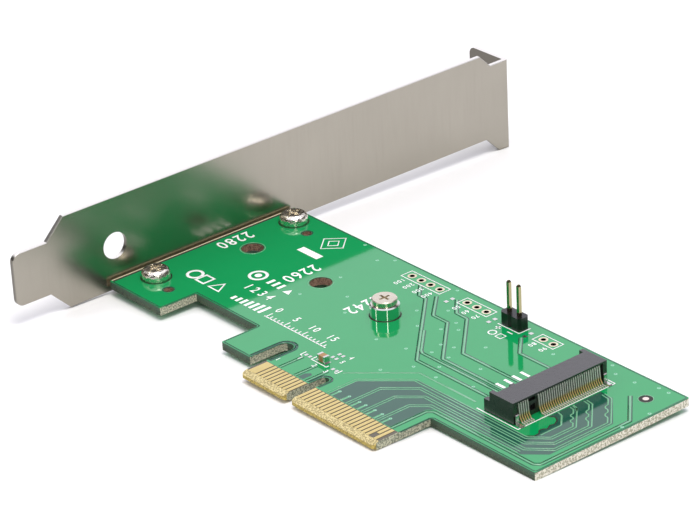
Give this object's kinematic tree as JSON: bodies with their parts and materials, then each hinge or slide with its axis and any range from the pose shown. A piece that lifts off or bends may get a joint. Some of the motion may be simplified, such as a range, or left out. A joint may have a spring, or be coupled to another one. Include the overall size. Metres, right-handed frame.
{
  "type": "storage module adapter card",
  "caption": "Plug-in adapter card with an edge connector and a slot bracket, carrying a socket, a standoff and a screw for a gumstick solid-state storage module.",
  "frame": {"origin": "on the component face of the card, at the middle of the key notch and level with the nose of the edge contacts", "axes": "+X along the card away from the bracket, +Y from the edge contacts up the card, +Z out of the component face"},
  "size_m": [0.1164, 0.12, 0.0218],
  "materials": {
    "laminate": "gloss green solder mask on glass epoxy",
    "contact_gold": "hard gold plate",
    "bracket_plate": "bright nickel plate on sheet steel",
    "screw_plate": "bright nickel plate",
    "standoff_plate": "bright nickel plate on turned brass",
    "module_screw_plate": "nickel plate, slightly satin",
    "ring_gold": "thin gold on copper",
    "header_plastic": "black, fine moulded",
    "header_gold": "gold flash over nickel",
    "solder": "bright tin",
    "socket_plastic": "black, fine moulded",
    "socket_spring": "gold flash and tin on copper alloy",
    "hold_down_tin": "bright tin plate",
    "capacitor_ceramic": "fired ceramic",
    "capacitor_tin": "tin plate"
  },
  "bodies": {
    "root": {"card": "laminate", "component_side_contacts": "contact_gold", "solder_side_contacts": "contact_gold", "slot_bracket": "bracket_plate", "bracket_screws": "screw_plate", "standoff": "standoff_plate", "module_screw": "module_screw_plate", "foot_screw": "module_screw_plate", "plated_holes": "ring_gold", "header_barrels": "ring_gold", "header_block": "header_plastic", "header_pins": "header_gold", "header_solder": "solder", "socket_housing": "socket_plastic", "socket_upper_contacts": "socket_spring", "socket_lower_contacts": "socket_spring", "socket_hold_downs": "hold_down_tin", "socket_lands": "solder", "capacitor_body": "capacitor_ceramic", "capacitor_ends": "capacitor_tin", "capacitor_lands": "solder", "spare_lands": "solder", "sighting_mark": "solder"}
  },
  "joints": []
}
